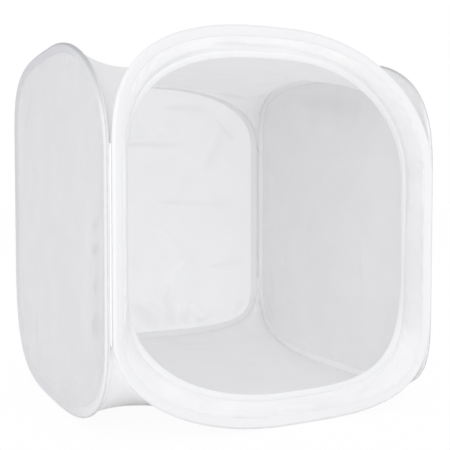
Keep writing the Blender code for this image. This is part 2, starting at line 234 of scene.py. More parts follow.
def meshPiece(name, points, faces, material, flatMap=None, creaseShades=None):
    mesh = bpy.data.meshes.new(name)
    mesh.from_pydata([tuple(p) for p in points], [], [tuple(int(k) for k in f) for f in faces])
    mesh.materials.append(material)
    mesh.shade_smooth()
    if flatMap is not None:   # the cloth's own flat coordinates in metres
        layer = mesh.uv_layers.new(name="cloth")
        corners = np.empty(len(mesh.loops), dtype=np.int32)
        mesh.loops.foreach_get("vertex_index", corners)
        layer.data.foreach_set("uv", np.asarray(flatMap, np.float32)[corners].ravel())
    # painted shade in the grooves of creases, kept on the points as the attribute fold
    if creaseShades is not None:
        mesh.attributes.new("fold", "FLOAT", "POINT").data.foreach_set("value", np.asarray(creaseShades, np.float32))
    return newObject(name, mesh)


def linear(hexColour):
    parts = [int(hexColour[k:k + 2], 16) / 255 for k in (1, 3, 5)]
    return (*[p / 12.92 if p <= 0.04045 else ((p + 0.055) / 1.055) ** 2.4 for p in parts], 1.0)


def nodeAdder(tree):
    # the one function that adds a node: its kind, what its sockets take, and its settings
    def add(kind, sockets=None, **settings):
        families = ("ShaderNode", "GeometryNode", "FunctionNode", "")
        made = tree.nodes.new(next(family + kind for family in families if hasattr(bpy.types, family + kind)))
        for key, value in settings.items():
            setattr(made, key, value)
        for key, value in (sockets or {}).items():
            if isinstance(value, bpy.types.Node):   # a node stands for its first output
                value = value.outputs[0]
            if isinstance(value, bpy.types.NodeSocket):
                tree.links.new(value, made.inputs[key])
            else:
                made.inputs[key].default_value = value
        return made

    return add


def newMaterial(name):
    material = bpy.data.materials.new(name)
    material.use_nodes = True
    material.node_tree.nodes.clear()
    return material, nodeAdder(material.node_tree)


def clothSurface(add, look, faceColour, throughColour, roughness, fine, coarse):
    # what cloth and tape share: threads over slubs or puckers, a soft bloom, and light that comes through
    height = add("Math", {0: coarse, 1: look["coarseRelief"]}, operation="MULTIPLY")
    relief = add("Math", {0: fine, 1: height}, operation="ADD")
    bump = add("Bump", {"Height": relief, "Strength": look["relief"], "Distance": 0.0003})
    face = add("BsdfPrincipled", {"Base Color": faceColour, "Roughness": roughness, "Normal": bump,
            "Sheen Weight": look["sheen"], "Sheen Roughness": 0.5, "Specular IOR Level": 0.25, "IOR": 1.53})
    through = add("BsdfTranslucent", {"Color": throughColour, "Normal": bump})
    both = add("MixShader", {0: look["translucence"], 1: face, 2: through})
    add("OutputMaterial", {"Surface": both})


def twoToneSurface(add, tone, light, dark, relief, depth, rough, span, sockets):
    # what thread, pile and steel share: two tones, a relief of a strength and a depth, and a span of roughness
    blend = add("Mix", {0: tone, 6: linear(light), 7: linear(dark)}, data_type="RGBA")
    bump = add("Bump", {"Height": relief, "Strength": depth[0], "Distance": depth[1]})
    roughness = add("MapRange", {"Value": rough, "To Min": span[0], "To Max": span[1]})
    sockets = {"Base Color": blend.outputs[2], "Normal": bump, "Roughness": roughness, **sockets}
    face = add("BsdfPrincipled", sockets)
    add("OutputMaterial", {"Surface": face})


def wovenNylon(name, look):
    # Plain-woven nylon: dull white with a soft bloom, and light comes through it.
    material, add = newMaterial(name)
    uv = add("UVMap", uv_map="cloth").outputs["UV"]
    place = add("TexCoord").outputs["Object"]
    # the real threads lie 0.25 mm apart; drawn four times as coarse, so that they show
    thread = 0.314 / look["threadMm"] * 1000   # a wave texture of scale 1 has a band every 314 mm
    warp, weft = [add("TexWave", {"Vector": uv, "Scale": thread, "Distortion": 0.6, "Detail": 1.0,
            "Detail Scale": 0.4}, bands_direction=across).outputs["Fac"] for across in "XY"]
    weave = add("Math", {0: warp, 1: weft}, operation="MAXIMUM")
    # tufts and slubs of about 9 mm, and the slow shade of the cloth over 60 mm
    slub = add("TexNoise", {"Vector": place, "Scale": 110.0, "Detail": 3.0, "Roughness": 0.55})
    shade = add("TexNoise", {"Vector": place, "Scale": 16.0, "Detail": 2.0, "Roughness": 0.5})
    spread = add("MapRange", {"Value": shade, "From Min": 0.32, "From Max": 0.68})
    slubSpread = add("MapRange", {"Value": slub, "From Min": 0.3, "From Max": 0.7, "To Min": -0.12,
            "To Max": 0.12})
    amount = add("Math", {0: spread, 1: slubSpread}, operation="ADD", use_clamp=True)
    # node sockets of a colour mix go by number: 6 and 7 are its colours, and 2 is what it gives
    colour = add("Mix", {0: amount, 6: linear(look["colour"]), 7: linear(look["shade"])}, data_type="RGBA")
    # painted shade in the grooves of creases: it darkens the cloth's face and the light that comes through it
    folded = add("Attribute", attribute_name="fold").outputs["Fac"]
    creaseShadedColour = add("Mix", {0: folded, 6: colour.outputs[2], 7: linear(look["fold"])}, data_type="RGBA")
    creaseShadedThrough = add("Mix", {0: folded, 6: linear(look["through"]), 7: linear(look["fold"])}, data_type="RGBA")
    roughness = add("MapRange", {"Value": slub, "To Min": look["roughness"] - 0.06,
            "To Max": look["roughness"] + 0.06})
    clothSurface(add, look, creaseShadedColour.outputs[2], creaseShadedThrough.outputs[2], roughness, weave, slub)
    return material


def foldedTape(name, look):
    # Folded nylon tape: closer woven than the cloth; the steel hoop shows through on its crown as a grey line.
    material, add = newMaterial(name)
    place = add("TexCoord").outputs["Object"]
    crown = add("Attribute", attribute_name="crown").outputs["Fac"]
    # ribs of the tape, 1.2 mm apart, and puckers of about 8 mm
    rib = add("TexNoise", {"Vector": place, "Scale": 800.0, "Detail": 2.0, "Roughness": 0.6})
    pucker = add("TexNoise", {"Vector": place, "Scale": 120.0, "Detail": 2.0})
    steel = add("MapRange", {"Value": crown, "From Min": look["steelFrom"], "From Max": 1.0,
            "To Max": look["steelShare"]})
    patchy = add("MapRange", {"Value": pucker, "From Min": 0.3, "From Max": 0.7, "To Min": 0.7, "To Max": 1.0})
    amount = add("Math", {0: steel, 1: patchy}, operation="MULTIPLY")
    # the side that faces out of the tent is darkened with painted shade, less near the front and the foot:
    # what lies further out than its hoop's plane, over a millimetre or so
    spot = add("SeparateXYZ", {0: add("VectorMath", {0: place}, operation="ABSOLUTE")})
    beyond = [add("Math", {0: spot.outputs[k], 1: tent["half"][k]}, operation="SUBTRACT") for k in (0, 1)]
    outermost = add("Math", {0: beyond[0], 1: beyond[1]}, operation="MAXIMUM")
    outsideShadeMask = add("MapRange", {"Value": outermost, "From Min": -0.0006, "From Max": 0.0006})
    where = add("SeparateXYZ", {0: place}).outputs
    rearward = add("MapRange", {"Value": where[1], "From Min": -0.28, "From Max": -0.10, "To Min": 0.6})
    upward = add("MapRange", {"Value": where[2], "From Min": 0.06, "From Max": 0.34, "To Min": 0.78})
    part = add("Math", {0: rearward, 1: upward}, operation="MULTIPLY")
    darker = add("Math", {0: outsideShadeMask, 1: part}, operation="MULTIPLY")
    cloth = add("Mix", {0: darker, 6: linear(look["colour"]), 7: linear(look["outside"])}, data_type="RGBA")
    # and painted shade greys the top of the sleeve, on the side away from the cloth
    raised = add("MapRange", {"Value": where[2], "From Min": 0.46, "From Max": 0.58, "To Max": look["paintedTopShade"]})
    facing = add("MapRange", {"Value": crown, "From Min": -0.3, "From Max": 0.6})
    topShadeMask = add("Math", {0: raised, 1: facing}, operation="MULTIPLY")
    grey = add("Mix", {0: topShadeMask, 6: cloth.outputs[2], 7: linear(look["steel"])}, data_type="RGBA")
    colour = add("Mix", {0: amount, 6: grey.outputs[2], 7: linear(look["steel"])}, data_type="RGBA")
    roughness = add("MapRange", {"Value": rib, "To Min": 0.62, "To Max": 0.78})
    clothSurface(add, look, colour.outputs[2], linear(look["colour"]), roughness, rib, pucker)
    return material


def spunThread(name, light, dark):
    # Spun polyester thread: dull with a slight lustre where its strands turn.
    material, add = newMaterial(name)
    place = add("TexCoord").outputs["Object"]
    twist = add("TexNoise", {"Vector": place, "Scale": 1500.0, "Detail": 1.0})
    tone = add("MapRange", {"Value": twist, "From Min": 0.35, "From Max": 0.65})
    twoToneSurface(add, tone, light, dark, twist, (0.4, 0.0002), twist, (0.45, 0.65),
                   {"Sheen Weight": 0.2, "IOR": 1.57})
    return material


def loopPile(name, light, dark):
    # Brushed nylon loop of a touch fastener: a fuzzy mat of loops with no gloss.
    material, add = newMaterial(name)
    place = add("TexCoord").outputs["Object"]
    loops = add("TexVoronoi", {"Vector": place, "Scale": 900.0})   # loops about 1.1 mm apart
    fuzz = add("TexNoise", {"Vector": place, "Scale": 260.0, "Detail": 4.0})
    tone = add("MapRange", {"Value": loops, "From Max": 0.6})
    height = add("Math", {0: fuzz, 1: tone}, operation="SUBTRACT")
    twoToneSurface(add, tone, light, dark, height, (0.9, 0.0006), fuzz, (0.85, 0.98),
                   {"Sheen Weight": 0.5, "Specular IOR Level": 0.15})
    return material


def rolledSteel(name, light, dark, roughness):
    # Rolled spring steel: fine marks along the strip, and a bloom from its heat treatment.
    material, add = newMaterial(name)
    place = add("TexCoord").outputs["Object"]
    marks = add("TexNoise", {"Vector": place, "Scale": 2600.0, "Detail": 2.0})
    bloom = add("TexNoise", {"Vector": place, "Scale": 60.0, "Detail": 3.0})
    twoToneSurface(add, bloom, light, dark, marks, (0.15, 0.0001), marks, (roughness - 0.08, roughness + 0.12),
                   {"Metallic": 1.0})
    return material


# colour and shade: the cloth's two tones; through: what light takes on in it; fold: the painted shade in the
# grooves of creases
nylon = {"roughness": 0.7, "sheen": 0.08, "relief": 0.30, "coarseRelief": 2.2, "threadMm": 1.0}
# outside: painted shade on the side that faces out of the tent; steel: the hoop that shows through on the crown,
# its share, and where it starts; last: the share of that grey painted as shade on the top
tape = {"sheen": 0.12, "relief": 0.5, "coarseRelief": 2.5, "translucence": 0.0, "steelFrom": 0.9}
# one nylon and one tape throughout; each piece's tones are painted light, set lighter or darker for the light it
# takes: floor, back and side tape lighter, walls, roof and front tape darker
finishes = {
    "wall": {**nylon, "colour": "#EDEDEE", "shade": "#E8E8EA", "through": "#F1F1F2", "fold": "#CFCFD3",
             "translucence": 0.46},
    "roof": {**nylon, "colour": "#EFEFF0", "shade": "#EAEAEC", "through": "#F1F1F2", "fold": "#D0D0D4",
             "translucence": 0.36},
    "back": {**nylon, "colour": "#F8F8F9", "shade": "#F4F4F6", "through": "#FAFAFB", "fold": "#DADADE",
             "translucence": 0.48},
    "floor": {**nylon, "colour": "#FDFDFE", "shade": "#FBFBFC", "through": "#FDFDFE", "fold": "#E4E4E7",
              "translucence": 0.04},
    "border": {**nylon, "colour": "#F3F3F4", "shade": "#EEEEF0", "through": "#F3F3F4", "fold": "#DADADE",
               "translucence": 0.08, "roughness": 0.68, "sheen": 0.06, "relief": 0.35},
    "side": {**tape, "colour": "#FBFBFC", "outside": "#CECED2", "steel": "#9A9CA0", "steelShare": 0.4,
             "steelFrom": 0.88, "paintedTopShade": 0.8},
    "front": {**tape, "colour": "#EBEBED", "outside": "#E9E9EB", "steel": "#C0C1C6", "steelShare": 0.12,
              "paintedTopShade": 0.3},
    "hem": {**tape, "colour": "#ECECEE", "outside": "#ECECEE", "steel": "#ECECEE", "steelShare": 0.0,
            "paintedTopShade": 0.0},
}
nylons = {kind: wovenNylon("wovenNylon" + kind.capitalize(), finishes[kind])
          for kind in ("wall", "roof", "back", "floor", "border")}
tapes = {kind: foldedTape("folded" + kind.capitalize() + "Tape", finishes[kind])
         for kind in ("side", "front", "hem")}
whiteThread = spunThread("spunPolyesterThread", "#F0F0F2", "#DEDFE2")
# the cord is whiter than the sewing thread: painted light that lifts the shade between the sleeves where the
# seams lie
seamCord = spunThread("spunPolyesterCord", "#FCFCFD", "#F6F6F8")
pileLoop = loopPile("brushedNylonLoop", "#F1F1F1", "#D9DADD")
springSteel = rolledSteel("bluedSpringSteel", "#8C9198", "#6E747E", 0.32)
crimpSteel = rolledSteel("crimpedSteelTube", "#B2B4B8", "#9A9CA1", 0.38)
print("light tent: finishes made")


def startTree(name, inputs):
    tree = bpy.data.node_groups.new(name, "GeometryNodeTree")
    tree.interface.new_socket("Geometry", in_out="INPUT", socket_type="NodeSocketGeometry")
    for label, kind in inputs.items():
        tree.interface.new_socket(label, in_out="INPUT", socket_type="NodeSocket" + kind)
    tree.interface.new_socket("Geometry", in_out="OUTPUT", socket_type="NodeSocketGeometry")
    add = nodeAdder(tree)
    return tree, add, add("NodeGroupInput").outputs


def endTree(add, geometry, material):
    real = add("RealizeInstances", {0: geometry})
    smooth = add("SetShadeSmooth", {0: real})
    done = add("SetMaterial", {"Geometry": smooth, "Material": material})
    add("NodeGroupOutput", {0: done})


def sleeveTree():
    # a flat path swept with a tape's section, then puckered along its normals
    tree, add, given = startTree("foldedSleeve", {
        "Section": "Object", "Section Radius": "Float", "Pucker": "Float", "Pucker Size": "Float",
        "Seed": "Int", "Material": "Material"})
    path = add("MeshToCurve", {0: given["Geometry"]})
    level = add("SetCurveNormal", {0: path}, mode="Z_UP")
    shape = add("GeometryNodeObjectInfo", {"Object": given["Section"]})
    outline = add("MeshToCurve", {0: shape.outputs["Geometry"]})
    spot = add("SeparateXYZ", {0: add("InputPosition")})
    crown = add("Math", {0: spot, 1: given["Section Radius"]}, operation="DIVIDE")
    marked = add("StoreNamedAttribute", {"Geometry": outline, "Name": "crown", "Value": crown},
            data_type="FLOAT", domain="POINT")
    swept = add("CurveToMesh", {"Curve": level, "Profile Curve": marked})
    fine = add("Math", {0: 1.0, 1: given["Pucker Size"]}, operation="DIVIDE")
    ripple = add("TexNoise", {"W": given["Seed"], "Scale": fine, "Detail": 1.0}, noise_dimensions="4D")
    centred = add("Math", {0: ripple, 1: 0.5}, operation="SUBTRACT")
    reach = add("Math", {0: centred, 1: given["Pucker"]}, operation="MULTIPLY")
    normal = add("InputNormal")
    shift = add("VectorMath", {0: normal, "Scale": reach}, operation="SCALE")
    moved = add("SetPosition", {"Geometry": swept, "Offset": shift})
    endTree(add, moved, given["Material"])
    return tree


def stitchTree():
    # rows of short thread capsules at an even pitch, each a little out of line
    tree, add, given = startTree("threadStitches", {
        "Pitch": "Float", "Stitch": "Float", "Thread": "Float", "Wander": "Float", "Seed": "Int",
        "Material": "Material"})
    rows = add("MeshToCurve", {0: given["Geometry"]})
    points = add("CurveToPoints", {"Curve": rows, "Length": given["Pitch"]}, mode="LENGTH")
    astray = add("RandomValue", {0: (-1, -1, -1), 1: (1, 1, 1), "Seed": given["Seed"]},
            data_type="FLOAT_VECTOR")
    shift = add("VectorMath", {0: astray, "Scale": given["Wander"]}, operation="SCALE")
    spread = add("SetPosition", {"Geometry": points.outputs["Points"], "Offset": shift})
    bead = add("MeshUVSphere", {"Segments": 6, "Rings": 4, "Radius": 0.5})
    size = add("CombineXYZ", {0: given["Thread"], 1: given["Thread"], 2: given["Stitch"]})
    capsule = add("Transform", {"Geometry": bead, "Scale": size})
    placed = add("InstanceOnPoints", {"Points": spread, "Instance": capsule,
            "Rotation": points.outputs["Rotation"]})
    endTree(add, placed, given["Material"])
    return tree


def cordTree():
    # strands wound round each other: one spiral copied and turned about the cord's own line
    tree, add, given = startTree("twistedCord", {
        "Length": "Float", "Turns": "Float", "Strands": "Int", "Lay Radius": "Float", "Strand Radius": "Float",
        "Material": "Material"})
    spiral = add("CurveSpiral", {"Resolution": 14, "Rotations": given["Turns"],
            "Start Radius": given["Lay Radius"], "End Radius": given["Lay Radius"], "Height": given["Length"]})
    copies = add("DuplicateElements", {"Geometry": spiral, "Amount": given["Strands"]}, domain="SPLINE")
    share = add("Math", {0: copies.outputs["Duplicate Index"], 1: given["Strands"]}, operation="DIVIDE")
    turn = add("Math", {0: share, 1: 2 * math.pi}, operation="MULTIPLY")
    spot = add("InputPosition")
    turned = add("VectorRotate", {"Vector": spot, "Angle": turn}, rotation_type="Z_AXIS")
    around = add("SetPosition", {"Geometry": copies, "Position": turned})
    strand = add("CurvePrimitiveCircle", {"Resolution": 7, "Radius": given["Strand Radius"]})
    swept = add("CurveToMesh", {"Curve": around, "Profile Curve": strand, "Fill Caps": True})
    endTree(add, swept, given["Material"])
    return tree


def pathHost(name, loops, closed=True):
    # a mesh of bare edges that a tree reads as curves
    points, edges = [], []
    for loop in loops:
        start = len(points)
        points += [tuple(p) if len(p) == 3 else (p[0], p[1], 0.0) for p in loop]
        edges += [(start + k, start + k + 1) for k in range(len(loop) - 1)]
        if closed:
            edges.append((start + len(loop) - 1, start))
    mesh = bpy.data.meshes.new(name)
    mesh.from_pydata(points, edges, [])
    return newObject(name, mesh)


def grow(name, host, tree, values, place=None):
    # runs a tree on its host and keeps the result as a plain mesh
    modifier = host.modifiers.new(tree.name, "NODES")
    modifier.node_group = tree
    for item in tree.interface.items_tree:
        if item.in_out == "INPUT" and item.name in values:
            modifier[item.identifier] = values[item.name]
    graph = bpy.context.evaluated_depsgraph_get()
    mesh = bpy.data.meshes.new_from_object(host.evaluated_get(graph), depsgraph=graph)
    mesh.name = name
    if place is not None:
        mesh.transform(place)
    host.modifiers.remove(modifier)
    bpy.data.objects.remove(host, do_unlink=True)
    return newObject(name, mesh)


foldedSleeve, threadStitches, twistedCord = sleeveTree(), stitchTree(), cordTree()
# a flat path in X and Y stood up into the plane of a hoop
lengthways = Matrix.Rotation(math.pi / 2, 4, "X")
sideways = Matrix(((0, 0, 1, 0), (1, 0, 0, 0), (0, 1, 0, 0), (0, 0, 0, 1)))
standUp = {
    "front": Matrix.Translation((0, -tent["half"][1], 0)) @ lengthways,
    "back": Matrix.Translation((0, tent["half"][1], 0)) @ lengthways,
    "left": Matrix.Translation((-tent["half"][0], 0, 0)) @ sideways,
    "right": Matrix.Translation((tent["half"][0], 0, 0)) @ sideways,
}
# first seeds; each hoop in turn takes the next
seeds = {"sleeves": 11, "sleeveStitches": 31, "capStitches": 50, "hemStitches": 71}
sewing = {"Pitch": 0.0034, "Stitch": 0.0027, "Thread": 0.00045, "Wander": 0.00012, "Material": whiteThread}


def sew(name, rows, body, seed, closed=True):
    piece = grow(name, pathHost(name + "Row", rows, closed), threadStitches, {**sewing, "Seed": seed})
    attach(piece, body)
    return piece


sleeves = {
    "around": 720, "bend": 12, "bore": 0.003406, "tape": 0.0006, "slit": 0.0006, "stitchInset": 0.0088,
    # the legs thin over the last millimetre, to these half widths; the slit between them ends before that
    "thinning": 0.0010, "edge": (0.0006, 0.0002, 0.0001), "hollowEnd": 0.0018,
    "pucker": 0.0006, "puckerSize": 0.011,
}


def sleeveSection():
    # tape drawn tight over the hoop down to its seam, with two legs that close on the cloth at their free edges
    legOut, legIn, seam = sleeves["slit"] + sleeves["tape"], sleeves["slit"], -sleeves["stitchInset"]
    depth, bend = tent["sleeveDepth"], sleeves["bend"]

    def tapeArc(radius, leg, steps):
        # over the hoop, between the two places where the tape leaves it
        reach = math.hypot(seam, leg)
        leaves = math.pi - math.atan2(leg, -seam) - math.acos(radius / reach)
        return [(radius * math.cos(a), radius * math.sin(a)) for a in np.linspace(-leaves, leaves, steps)]

    wide, slim, tip = sleeves["edge"]
    closed = [(seam, legOut), (-depth + sleeves["thinning"], wide), (-depth, slim), (-depth, tip)]
    inside = [(-depth + sleeves["hollowEnd"], legIn), (seam, legIn)]
    outside = tapeArc(tent["sleeve"], legOut, 2 * bend + 1)
    bore = tapeArc(sleeves["bore"], legIn, 2 * bend - 3)[::-1]
    return outside + closed + inside + bore + [(x, -y) for x, y in reversed(closed + inside)]


sectionHost = pathHost("sleeveSection", [sleeveSection()])
for number, name in enumerate(hoops):
    body = hoops[name]["body"]
    path, outs = evenLoop(*hoopOutline(name, drawing["hoopSteps"]), sleeves["around"])
    sleeve = grow(name + "Sleeve", pathHost(name + "Path", [path]), foldedSleeve,
                  {"Section": sectionHost, "Section Radius": tent["sleeve"], "Pucker": sleeves["pucker"],
                   "Pucker Size": sleeves["puckerSize"], "Seed": seeds["sleeves"] + number,
                   "Material": tapes["front" if name == "front" else "side"]}, standUp[name])
    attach(sleeve, body)
    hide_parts(name + "_binding")
    row = path - sleeves["stitchInset"] * outs
    legOut = sleeves["slit"] + sleeves["tape"]
    rows = [stand(name, row, legOut), stand(name, row, -legOut)]
    sew(name + "SleeveStitches", rows, body, seeds["sleeveStitches"] + number)
bpy.data.objects.remove(sectionHost, do_unlink=True)
print("light tent: sleeves swept and stitched")

# Wall cloths. A crease is across and up of both its ends, its width, and its height towards the inside, in mm.
# The second list of the left wall is painted shade: smudges at its seam that only darken the cloth.
wallSewing = {
    "around": 460, "rings": 110, "crowding": 0.4, "waveSize": 0.22,
    "heldTo": 0.008, "freeOver": 0.02,   # the cloth is held from its edge to here, and free after so much more
    # puckers along the sleeve: how many, how their spacing wobbles and their height swells; how high and far in
    "puckers": (61, 1.7, 7, 0.4, 11), "pucker": 0.0008,
    "puckerFrom": 0.0075, "puckerRise": 0.004, "puckerFull": 0.012, "puckerWidth": 0.016,
}
walls = {
    "left": {"waves": 0.0014, "seed": 5, "flat": (0.576, 0.585), "area": 0.322, "creases": (
        (-250, 312, -230, 300, 8, -1.6), (-252, 280, -228, 268, 6, -2.4), (-246, 228, -236, 212, 9, -2),
        (-248, 184, -232, 150, 12, -2.4), (-266, 330, -268, 160, 5, 2.6), (-205, 345, -200, 150, 12, 3),
        (-222, 540, -268, 500, 6, 2.6), (-262, 510, -272, 440, 5, -3), (-165, 430, -165, 350, 20, 2.2),
        (128, 130, 122, 85, 4, -2.4), (28, 118, 28, 92, 4, -2), (235, 120, 240, 210, 4, -2),
        (-140, 55, -30, 35, 8, 2.4), (40, 555, -140, 555, 10, 2.2), (-255, 115, -235, 70, 6, 2.4),
        (215, 470, 130, 545, 10, -2)),
        "paintedShadeSmudges": (
            (-254, 318, -230, 302, 10, -2.4), (-257, 279, -226, 270, 7, -4.6), (-244, 262, -240, 190, 10, -2),
            (-248, 232, -234, 216, 8, -2.6), (-252, 188, -234, 150, 13, -3.4))},
    "right": {"waves": 0.0016, "seed": 8, "flat": (0.576, 0.585), "area": 0.322, "creases": (
        (-98, 270, -128, 150, 14, 3.4), (172, 245, 157, 118, 10, 2.2), (40, 380, 40, 300, 16, 2.4),
        (245, 450, 247, 260, 8, 2.2), (215, 545, 150, 560, 10, -1.2), (119, 555, -100, 520, 20, -3.4),
        (100, 500, -80, 470, 12, 2), (255, 115, 225, 55, 7, 2.6), (100, 35, 20, 40, 7, 2.2),
        (230, 100, 245, 180, 6, -1.8))},
    "back": {"waves": 0.0012, "seed": 3, "flat": (0.542, 0.555), "area": 0.286, "creases": (
        (-100, 460, 85, 463, 4.5, -3.4), (-100, 472, 100, 474, 6, 2.2), (20, 336, 205, 332, 6, -2),
        (12, 294, 113, 187, 10, 5), (146, 185, 250, 192, 7, -2.6), (64, 172, 64, 150, 12, 3),
        (90, 198, 56, 137, 14, 4), (-34, 112, 26, 56, 13, -4), (3, 112, 48, 54, 12, 6),
        (46, 130, 66, 58, 12, -3.6), (80, 110, 86, 60, 10, 4), (99, 94, 100, 56, 12, -3.4),
        (109, 106, 138, 62, 12, 7), (120, 64, 142, 52, 10, -4), (150, 58, 186, 54, 8, 3),
        (206, 48, 186, 60, 11, -3.4), (206, 48, 222, 68, 10, 5.5), (218, 52, 250, 92, 12, -4.5),
        (140, 400, 200, 500, 12, -2), (-6, 521, 65, 487, 10, 2.4), (40, 545, 140, 548, 8, -3),
        (170, 525, 220, 480, 8, -2.6))},
}


def wallCloth(name):
    look, count, rings = walls[name], wallSewing["around"], wallSewing["rings"]
    loop, outs = evenLoop(*hoopOutline(name, drawing["hoopSteps"]), count)
    edge = loop - tent["clothEdge"] * outs
    middle = np.array((0.0, tent["height"] / 2))
    even, crowding = np.linspace(0, 1, rings + 1)[1:], wallSewing["crowding"]
    shares = (1 - crowding) * even + crowding * np.sin(even * math.pi / 2)   # rings crowd near the sleeve
    flat = np.concatenate([middle[None]] + [middle + s * (edge - middle) for s in shares])
    fromEdge = np.concatenate([[1.0]] + [(1 - s) * np.linalg.norm(edge - middle, axis=1) for s in shares])
    free = eased((fromEdge - wallSewing["heldTo"]) / wallSewing["freeOver"])
    rim = np.exp(-((fromEdge - wallSewing["puckerFull"]).clip(0) / wallSewing["puckerWidth"]) ** 2)
    rim *= ((fromEdge - wallSewing["puckerFrom"]) / wallSewing["puckerRise"]).clip(0, 1)
    turn = np.arctan2(flat[:, 1] - middle[1], flat[:, 0])
    ripple = unevenRipple(turn, *wallSewing["puckers"], look["seed"])
    waves = look["waves"] * gentleWaves(flat, wallSewing["waveSize"], look["seed"])
    rise = free * (creaseField(flat, look["creases"]) + waves) + wallSewing["pucker"] * rim * ripple
    points, faces = stand(name, flat, 0), []
    points[:, 1 - hoops[name]["along"]] -= hoops[name]["side"] * rise
    for k in range(count):
        after = (k + 1) % count
        faces.append((0, 1 + k, 1 + after))
        for ring in range(rings - 1):
            here = 1 + ring * count
            faces.append((here + k, here + count + k, here + count + after, here + after))
    # painted shade in the grooves of the creases, and the painted smudges at the seam
    creaseShades = free * paintedCreaseShade(flat, look["creases"] + look.get("paintedShadeSmudges", ()))
    material = nylons["back" if name == "back" else "wall"]
    cloth = meshPiece(name + "WallCloth", points, faces, material, flat, creaseShades)
    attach(cloth, hoops[name]["body"])
    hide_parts(name + "_panel")


for name in walls:
    wallCloth(name)
print("light tent: wall cloths stretched")

# The border, drawn back from the front hoop to the opening, and its hem and fastener strips.
border = {
    "spacing": 0.0045, "across": 30, "flatDepth": 0.013506, "billow": 0.0022, "hemRelease": 0.008,
    # puckers every 26 mm; rows: how far across the border each stands, its height, how far round it is shifted
    "puckers": (2 * math.pi / 0.026, 2.0, 17, 0.5, 23, 1.0), "puckerSpread": 0.12,
    "puckerRows": ((0.12, 0.0006, 0), (0.6, 0.0005, 31)), "creases": (
        (-125, 566, -75, 569, 4, -2), (-81, 569, 15, 570, 4, -1.8), (-170, 573, 60, 577, 6, 0.5),
        (128, 538, 160, 522, 4.5, -2), (150, 532, 205, 472, 4.5, 1.6), (60, 576, 120, 558, 5, 1.4),
        (-237, 486, -212, 516, 5, -1.7), (-246, 165, -232, 118, 5, -1.6), (262, 335, 262, 190, 4, -1.6),
        (256, 190, 252, 120, 4, 1.4), (262, 420, 263, 350, 3, 1.2), (-260, 410, -260, 190, 2.6, 1.1),
        (-135, 30, -58, 20, 5, 1.6), (-10, 26, 78, 20, 5, 1.9), (-6, 34, 90, 30, 4, -1.8),
        (-250, 90, -222, 60, 6, 1.7), (130, 30, 190, 52, 5, -1.6), (215, 70, 245, 110, 5, 1.4),
        (-205, 52, -150, 32, 5, -1.6)),
}
hem = {
    "width": 0.009, "tape": 0.0005, "slit": 0.0006, "fold": -0.0003, "stitchRows": (0.0018, 0.0052),
    "thinning": 0.0012, "edge": (0.0006, 0.0002, 0.0001), "hollowEnd": 0.002,
    "pucker": 0.0002, "puckerLength": 0.013, "clearance": 0.0005,   # from the hem to where the border may rise
}
# the corners where the strips meet, in degrees round the opening, and the rounding of a strip's edges
strip = {"width": 0.0075, "low": 0.0017, "thick": 0.0012, "edge": 0.0004, "crown": 0.0002,
         "corners": (47, 133, -137, -43)}


def openingLoops():
    # the border cloth's outer edge, the line where it leaves its sleeve, and the edge of the opening
    flat, outs = hoopOutline("front", drawing["borderSteps"])
    outer = stand("front", flat - tent["clothEdge"] * outs, 0)
    held = stand("front", flat - border["flatDepth"] * outs, 0)
    half = opening["halfShare"] * tent["hoopHalf"][0]
    low = tent["hoopLow"] + opening["bottomShare"] * hoopRise
    high = tent["hoopLow"] + opening["topShare"] * hoopRise
    rises = [hoopRise * share for share in opening["rises"]]
    flat, _ = roundedFrame(half, low, high, rises, opening["powers"], drawing["borderSteps"])
    edge = stand("front", flat, 0)
    side = np.where(flat[:, 0] < 0, opening["setBackLeft"], opening["setBackRight"])
    edge[:, 1] += opening["setBack"] + side * (flat[:, 0] / half) ** 2
    return fillLoops([edge, outer, held], border["spacing"])


edge, outer, held = openingLoops()
# at each point of the edge: along it, outwards over the border, and into the tent
ahead = unit(np.roll(edge, -1, axis=0) - np.roll(edge, 1, axis=0))
over = held - edge
over = unit(over - (over * ahead).sum(axis=1, keepdims=True) * ahead)
inner = np.cross(ahead, over)
inner *= np.sign(inner[:, 1:2])
run = distances(edge)


def squashFront(piece):
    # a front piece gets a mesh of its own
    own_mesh(piece)


def borderCloth():
    count, across = len(edge), border["across"]
    span = np.linalg.norm(edge - held, axis=1)
    rings, creaseShades = [outer, held], [np.zeros(count), np.zeros(count)]
    ripple = unevenRipple(run, *border["puckers"])
    for share in np.linspace(0, 1, across + 1)[1:]:
        place = held * (1 - share) + edge * share
        flat, bulge = place[:, (0, 2)], math.sin(math.pi * share)
        lift = border["billow"] * bulge + creaseField(flat, border["creases"]) * bulge ** 0.5
        for where, height, shift in border["puckerRows"]:
            lift += height * np.roll(ripple, shift) * math.exp(-((share - where) / border["puckerSpread"]) ** 2)
        # flat where the hem tape holds it
        free = eased((span * (1 - share) - hem["width"] - hem["clearance"]) / border["hemRelease"])
        # painted shade in the grooves of the creases
        creaseShades.append(paintedCreaseShade(flat, border["creases"]) * bulge ** 0.5 * free)
        rings.append(place - inner * (lift * free)[:, None])
    maps = [np.stack([run, span * (1 - max(k - 1, 0) / across)], axis=1) for k in range(len(rings))]
    faces = []
    for ring in range(len(rings) - 1):
        for k in range(count):
            here, there, after = ring * count, (ring + 1) * count, (k + 1) % count
            faces.append((here + k, here + after, there + after, there + k))
    cloth = meshPiece("borderCloth", np.concatenate(rings), faces, nylons["border"], np.concatenate(maps),
                      np.concatenate(creaseShades))
    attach(cloth, "front_frame")
    squashFront(cloth)
    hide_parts("front_border")


